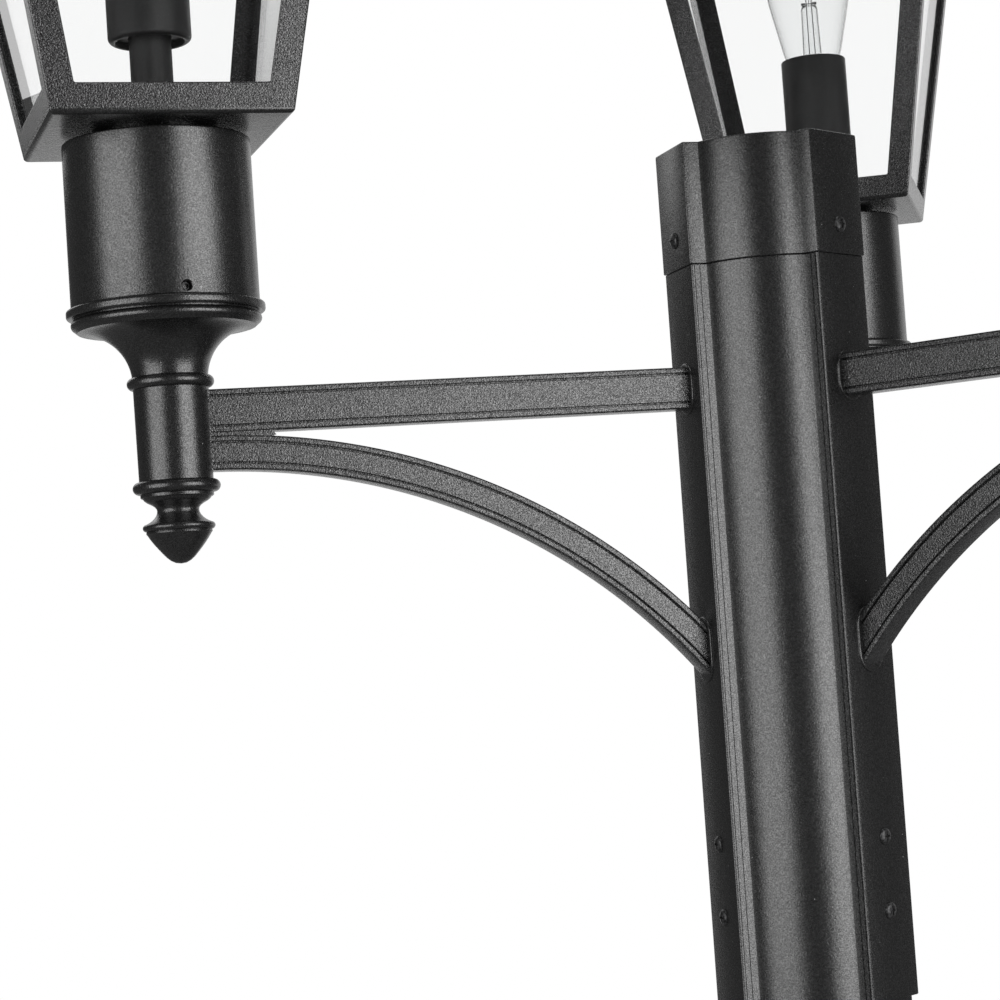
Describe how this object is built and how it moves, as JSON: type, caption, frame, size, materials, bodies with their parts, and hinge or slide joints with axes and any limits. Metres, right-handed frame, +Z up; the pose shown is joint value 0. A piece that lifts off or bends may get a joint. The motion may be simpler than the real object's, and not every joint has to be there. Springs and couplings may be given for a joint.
{
  "type": "outdoor post light",
  "caption": "Outdoor post light: square tapering glass lanterns on braced arms round a ribbed metal post with a bell-shaped base cover.",
  "frame": {"origin": "centre of the base flange's underside, on the axis of the post", "axes": "+Z up along the post; +Y along the rear arm, away from the side between the other two arms; +X towards the right arm's side"},
  "size_m": [0.7948, 0.6883, 2.2851],
  "materials": {
    "black_coat": "fine-textured satin black powder coat",
    "black_fittings": "smooth satin black",
    "black_screws": "black oxide, semi gloss",
    "zinc_steel": "zinc plated",
    "pane_glass": "clear float glass",
    "lamp_glass": "clear lamp glass"
  },
  "bodies": {
    "post": {"acorn_finials": "black_coat", "arm_bars": "black_coat", "arm_braces": "black_coat", "arm_hubs": "black_coat", "arm_sleeve": "black_coat", "base_flange": "black_coat", "cap_screws": "black_screws", "fitter_cups": "black_coat", "flange_bolts": "zinc_steel", "glass_pane_left_1": "pane_glass", "glass_pane_left_2": "pane_glass", "glass_pane_left_3": "pane_glass", "glass_pane_left_4": "pane_glass", "glass_pane_rear_1": "pane_glass", "glass_pane_rear_2": "pane_glass", "glass_pane_rear_3": "pane_glass", "glass_pane_rear_4": "pane_glass", "glass_pane_right_1": "pane_glass", "glass_pane_right_2": "pane_glass", "glass_pane_right_3": "pane_glass", "glass_pane_right_4": "pane_glass", "lamp_holders": "black_fittings", "lantern_cage_left": "black_coat", "lantern_cage_rear": "black_coat", "lantern_cage_right": "black_coat", "pole": "black_coat", "pole_spigot": "black_coat", "post_cap": "black_coat", "roof_strap_left": "black_fittings", "roof_strap_rear": "black_fittings", "roof_strap_right": "black_fittings", "sleeve_screws": "black_screws", "stem_tubes": "black_fittings"},
    "roof_left": {"roof_left": "black_coat"},
    "finial_left": {"roof_finial_left": "black_coat"},
    "lamp_left": {"lamp_left": "lamp_glass"},
    "roof_right": {"roof_right": "black_coat"},
    "finial_right": {"roof_finial_right": "black_coat"},
    "lamp_right": {"lamp_right": "lamp_glass"},
    "roof_rear": {"roof_rear": "black_coat"},
    "finial_rear": {"roof_finial_rear": "black_coat"},
    "lamp_rear": {"lamp_rear": "lamp_glass"},
    "base_cover": {"base_cover": "black_coat", "base_cover_screws": "black_screws"}
  },
  "joints": [
    {"name": "base_cover_lift", "type": "slide", "parent": "post", "child": "base_cover", "axis": [0, 0, 1], "range_m": [0, 1.27]},
    {"name": "roof_lift_left", "type": "slide", "parent": "post", "child": "roof_left", "axis": [0, 0, 1], "range_m": [0, 0.14]},
    {"name": "finial_turn_left", "type": "hinge", "parent": "roof_left", "child": "finial_left", "pos_m": [-0.25011, -0.1444, 2.25806], "axis": [0, 0, 1], "continuous": true},
    {"name": "lamp_turn_left", "type": "hinge", "parent": "post", "child": "lamp_left", "pos_m": [-0.25011, -0.1444, 1.96706], "axis": [0, 0, 1], "range_deg": [0, 900]},
    {"name": "roof_lift_right", "type": "slide", "parent": "post", "child": "roof_right", "axis": [0, 0, 1], "range_m": [0, 0.14]},
    {"name": "finial_turn_right", "type": "hinge", "parent": "roof_right", "child": "finial_right", "pos_m": [0.25011, -0.1444, 2.25806], "axis": [0, 0, 1], "continuous": true},
    {"name": "lamp_turn_right", "type": "hinge", "parent": "post", "child": "lamp_right", "pos_m": [0.25011, -0.1444, 1.96706], "axis": [0, 0, 1], "range_deg": [0, 900]},
    {"name": "roof_lift_rear", "type": "slide", "parent": "post", "child": "roof_rear", "axis": [0, 0, 1], "range_m": [0, 0.14]},
    {"name": "finial_turn_rear", "type": "hinge", "parent": "roof_rear", "child": "finial_rear", "pos_m": [0, 0.2888, 2.25806], "axis": [0, 0, 1], "continuous": true},
    {"name": "lamp_turn_rear", "type": "hinge", "parent": "post", "child": "lamp_rear", "pos_m": [0, 0.2888, 1.96706], "axis": [0, 0, 1], "range_deg": [0, 900]}
  ]
}
